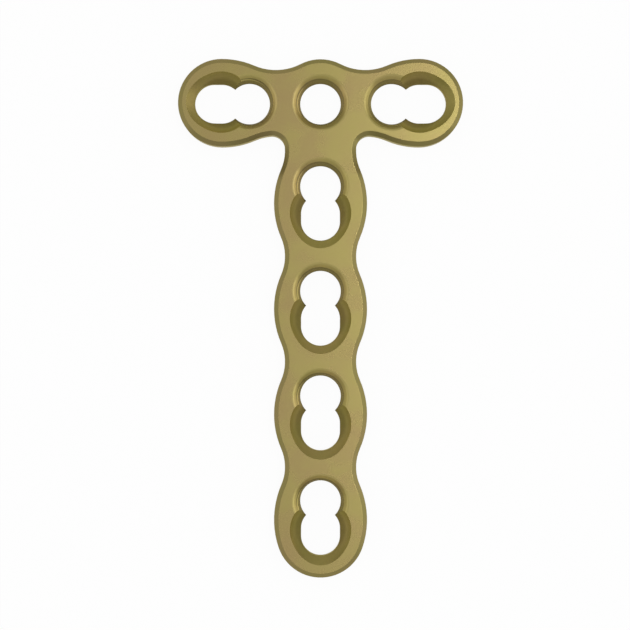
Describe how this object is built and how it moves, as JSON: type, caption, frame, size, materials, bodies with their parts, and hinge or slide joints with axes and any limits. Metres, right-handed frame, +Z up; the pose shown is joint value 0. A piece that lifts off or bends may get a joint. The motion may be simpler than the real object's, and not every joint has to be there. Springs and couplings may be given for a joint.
{
  "type": "bone plate",
  "caption": "T-shaped bone plate with a scalloped edge, threaded round holes and ball-funnel compression slots, in satin gold-anodised titanium.",
  "frame": {"origin": "middle of the head's round hole, on the plate's underside", "axes": "+X across the head, +Y along the shaft towards the head, +Z up through the plate, from the bone face to the face on which the screw heads sit"},
  "size_m": [0.0432, 0.0787, 0.003],
  "materials": {
    "anodised_titanium": "satin, gold-anodised"
  },
  "bodies": {
    "root": {"plate": "anodised_titanium"}
  },
  "joints": []
}
